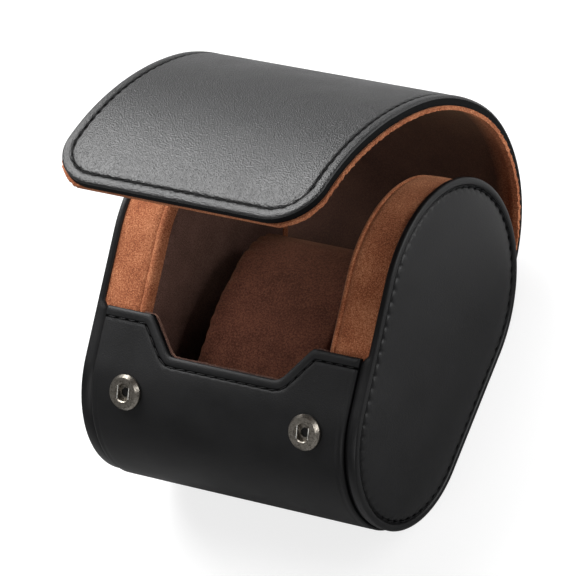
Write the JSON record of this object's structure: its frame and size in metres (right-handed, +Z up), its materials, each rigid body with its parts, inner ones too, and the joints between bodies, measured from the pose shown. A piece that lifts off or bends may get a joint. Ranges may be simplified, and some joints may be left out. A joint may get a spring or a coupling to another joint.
{
  "type": "watch travel case",
  "caption": "Rounded leather watch travel case with a curved flexing lid, press studs, suede-lined well and a loose pillow for one watch.",
  "frame": {"origin": "centre of the flat base, on the face the case stands on", "axes": "+X across the case to its right side, -Y to the front where the press studs are, +Z up"},
  "size_m": [0.092, 0.1137, 0.1075],
  "materials": {
    "side_leather": "black grained, semi-matt",
    "wrap_leather": "black grained, semi-matt",
    "lid_leather": "black fine-grained, satin",
    "side_foam": "soft foam",
    "cheek_foam": "soft foam",
    "pillow_foam": "soft foam",
    "board": "pressed fibre board",
    "filler_cord": "twisted cotton cord",
    "inner_suede": "tan suede nap",
    "band_suede": "tan suede nap",
    "lid_suede": "tan suede nap",
    "pillow_suede": "tan suede nap",
    "snap_metal": "antique nickel",
    "stud_metal": "antique nickel",
    "spring_wire": "bright drawn wire"
  },
  "bodies": {
    "case": {"side_cover_left": "side_leather", "side_pad_left": "side_foam", "side_board_left": "board", "rim_filler_left": "filler_cord", "cheek_foam_left": "cheek_foam", "cheek_lining_left": "inner_suede", "rim_band_left": "band_suede", "side_cover_right": "side_leather", "side_pad_right": "side_foam", "side_board_right": "board", "rim_filler_right": "filler_cord", "cheek_foam_right": "cheek_foam", "cheek_lining_right": "inner_suede", "rim_band_right": "band_suede", "wrap_leather": "wrap_leather", "wrap_board": "board", "well_lining": "inner_suede", "socket_rings": "snap_metal", "socket_springs": "spring_wire", "socket_eyelets": "snap_metal"},
    "lid_fold": {"lid_fold_leather": "lid_leather"},
    "lid_back": {"lid_back_leather": "lid_leather", "lid_back_board": "board", "lid_back_lining": "lid_suede"},
    "lid_top": {"lid_top_leather": "lid_leather", "lid_top_board": "board", "lid_top_lining": "lid_suede"},
    "lid_front": {"lid_front_leather": "lid_leather", "lid_front_board": "board", "lid_front_lining": "lid_suede"},
    "lid_nose": {"lid_nose_leather": "lid_leather", "lid_nose_board": "board", "lid_nose_lining": "lid_suede", "lid_studs": "stud_metal", "lid_stud_rivets": "stud_metal"},
    "pillow": {"pillow_end_left": "pillow_suede", "pillow_end_right": "pillow_suede", "pillow_cover": "pillow_suede", "pillow_core": "pillow_foam"}
  },
  "joints": [
    {"name": "lid_fold_bend", "type": "hinge", "parent": "case", "child": "lid_fold", "pos_m": [0, 0.03021, 0.00267], "axis": [1, 0, 0], "range_deg": [-2.5, 10]},
    {"name": "lid_back_bend", "type": "hinge", "parent": "lid_fold", "child": "lid_back", "pos_m": [0, 0.03904, 0.00362], "axis": [1, 0, 0], "range_deg": [-3.75, 15]},
    {"name": "lid_top_bend", "type": "hinge", "parent": "lid_back", "child": "lid_top", "pos_m": [0, 0.06687, 0.04919], "axis": [1, 0, 0], "range_deg": [-3.99, 15.96]},
    {"name": "lid_front_bend", "type": "hinge", "parent": "lid_top", "child": "lid_front", "pos_m": [0, 0.05387, 0.07677], "axis": [1, 0, 0], "range_deg": [-3.25, 13]},
    {"name": "lid_nose_bend", "type": "hinge", "parent": "lid_front", "child": "lid_nose", "pos_m": [0, 0.03087, 0.09708], "axis": [1, 0, 0], "range_deg": [-10, 2.5]},
    {"name": "pillow_lift", "type": "slide", "parent": "case", "child": "pillow", "axis": [0, -0.6157, -0.788], "range_m": [-0.018, 0]}
  ],
  "couplings": [
    {"joint": "lid_back_bend", "follows": "lid_fold_bend", "ratio": 1.5},
    {"joint": "lid_top_bend", "follows": "lid_fold_bend", "ratio": 1.5962},
    {"joint": "lid_front_bend", "follows": "lid_fold_bend", "ratio": 1.3},
    {"joint": "lid_nose_bend", "follows": "lid_fold_bend", "ratio": -1}
  ]
}
